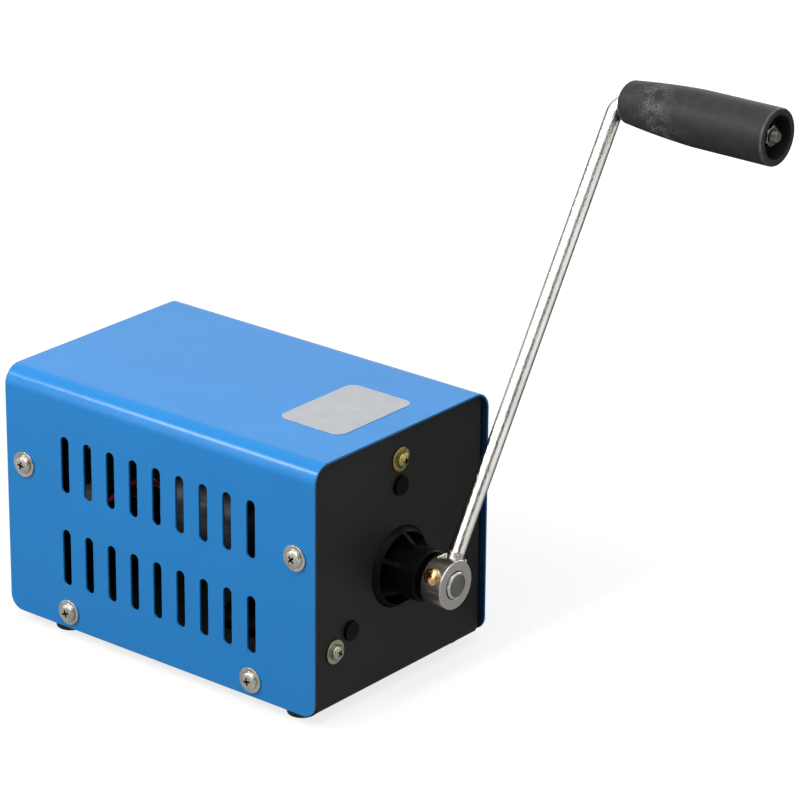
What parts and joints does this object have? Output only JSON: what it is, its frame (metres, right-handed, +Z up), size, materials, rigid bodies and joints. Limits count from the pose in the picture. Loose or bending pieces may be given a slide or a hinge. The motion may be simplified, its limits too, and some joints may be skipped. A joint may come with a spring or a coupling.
{
  "type": "hand crank generator",
  "caption": "Hand crank generator: sheet-metal case with side vents, a planetary gearbox and motor inside, a bent-rod crank with a turning grip, USB and DC sockets behind.",
  "frame": {"origin": "on the floor, under the middle of the cover", "axes": "+Z up, -Y towards the crank, +X to the right for someone who faces the crank"},
  "size_m": [0.1555, 0.2348, 0.2106],
  "materials": {
    "blue_powder_coat": "satin powder coat",
    "black_powder_coat": "satin powder coat",
    "nickel_screws": "nickel plated",
    "yellow_zinc": "yellow zinc plated",
    "grey_zinc": "zinc plated",
    "steel": "machined",
    "nickel": "nickel plated",
    "copper_screw": "copper flashed",
    "black_acetal": "moulded",
    "grip_plastic": "matte, turned",
    "gear_acetal": "moulded",
    "bronze": "sintered",
    "label_film": "silver film",
    "black_rubber": "matte",
    "can_steel": "zinc plated, drawn",
    "magnet_ferrite": "ferrite",
    "core_steel": "laminated",
    "copper": "enamelled wire",
    "carbon": "carbon",
    "brass": "bright",
    "board_laminate": "solder mask",
    "socket_steel": "tin plated",
    "socket_black": "moulded",
    "white_nylon": "moulded",
    "black_sleeve": "shrink sleeve",
    "lead_red": "PVC insulation",
    "lead_black": "PVC insulation"
  },
  "bodies": {
    "housing": {"board_capacitors": "black_sleeve", "board_choke": "core_steel", "board_screws": "nickel_screws", "board_spacers": "brass", "chassis": "black_powder_coat", "cover_screws": "nickel_screws", "cover_shell": "blue_powder_coat", "dc_pin": "socket_steel", "dc_socket": "socket_black", "foot_nuts": "grey_zinc", "foot_screws": "grey_zinc", "gearbox_cap": "black_acetal", "gearbox_screws": "yellow_zinc", "gearbox_washers": "grey_zinc", "lead_connector": "white_nylon", "motor_brushes": "carbon", "motor_bushes": "bronze", "motor_can": "can_steel", "motor_end_cap": "socket_black", "motor_lead_black": "lead_black", "motor_lead_red": "lead_red", "motor_magnets": "magnet_ferrite", "motor_plate": "black_acetal", "motor_screws": "grey_zinc", "motor_terminals": "brass", "output_board": "board_laminate", "panel_screws": "nickel_screws", "plate_screws": "grey_zinc", "ring_gear": "black_acetal", "rubber_feet": "black_rubber", "shaft_bush": "bronze", "top_label": "label_film", "usb_shell": "socket_steel", "usb_tongue": "white_nylon"},
    "crank": {"crank_shaft": "steel", "first_stage_pins": "steel", "crank_collar": "nickel", "set_screw": "copper_screw", "set_screw_washer": "grey_zinc", "crank_arm": "nickel", "grip_washer": "grey_zinc", "grip_nut": "grey_zinc"},
    "grip_body": {"grip": "grip_plastic"},
    "first_planet_body_1": {"first_planet_1": "gear_acetal"},
    "first_planet_body_2": {"first_planet_2": "gear_acetal"},
    "first_planet_body_3": {"first_planet_3": "gear_acetal"},
    "second_stage": {"second_carrier": "gear_acetal", "second_stage_pins": "steel"},
    "second_planet_body_1": {"second_planet_1": "gear_acetal"},
    "second_planet_body_2": {"second_planet_2": "gear_acetal"},
    "second_planet_body_3": {"second_planet_3": "gear_acetal"},
    "rotor": {"motor_pinion": "brass", "rotor_shaft": "steel", "rotor_core": "core_steel", "rotor_coils": "copper", "commutator": "copper"}
  },
  "joints": [
    {"name": "crank_spin", "type": "hinge", "parent": "housing", "child": "crank", "pos_m": [0, -0.0862, 0.046], "axis": [0, 1, 0], "continuous": true},
    {"name": "grip_spin", "type": "hinge", "parent": "crank", "child": "grip_body", "pos_m": [0.09484, -0.1286, 0.20016], "axis": [0, 1, 0], "continuous": true},
    {"name": "first_planet_1_spin", "type": "hinge", "parent": "crank", "child": "first_planet_body_1", "pos_m": [0, -0.0537, 0.0625], "axis": [0, 1, 0], "continuous": true},
    {"name": "first_planet_2_spin", "type": "hinge", "parent": "crank", "child": "first_planet_body_2", "pos_m": [-0.01429, -0.0537, 0.03775], "axis": [0, 1, 0], "continuous": true},
    {"name": "first_planet_3_spin", "type": "hinge", "parent": "crank", "child": "first_planet_body_3", "pos_m": [0.01429, -0.0537, 0.03775], "axis": [0, 1, 0], "continuous": true},
    {"name": "second_stage_spin", "type": "hinge", "parent": "housing", "child": "second_stage", "pos_m": [0, -0.0467, 0.046], "axis": [0, 1, 0], "continuous": true},
    {"name": "second_planet_1_spin", "type": "hinge", "parent": "second_stage", "child": "second_planet_body_1", "pos_m": [0, -0.0362, 0.0625], "axis": [0, 1, 0], "continuous": true},
    {"name": "second_planet_2_spin", "type": "hinge", "parent": "second_stage", "child": "second_planet_body_2", "pos_m": [-0.01429, -0.0362, 0.03775], "axis": [0, 1, 0], "continuous": true},
    {"name": "second_planet_3_spin", "type": "hinge", "parent": "second_stage", "child": "second_planet_body_3", "pos_m": [0.01429, -0.0362, 0.03775], "axis": [0, 1, 0], "continuous": true},
    {"name": "rotor_spin", "type": "hinge", "parent": "housing", "child": "rotor", "pos_m": [0, -0.0144, 0.046], "axis": [0, 1, 0], "continuous": true}
  ],
  "couplings": [
    {"joint": "first_planet_1_spin", "follows": "crank_spin", "ratio": -2.5714},
    {"joint": "first_planet_2_spin", "follows": "crank_spin", "ratio": -2.5714},
    {"joint": "first_planet_3_spin", "follows": "crank_spin", "ratio": -2.5714},
    {"joint": "second_stage_spin", "follows": "crank_spin", "ratio": 5.5},
    {"joint": "second_planet_1_spin", "follows": "crank_spin", "ratio": -14.143},
    {"joint": "second_planet_2_spin", "follows": "crank_spin", "ratio": -14.143},
    {"joint": "second_planet_3_spin", "follows": "crank_spin", "ratio": -14.143},
    {"joint": "rotor_spin", "follows": "crank_spin", "ratio": 30.25}
  ]
}
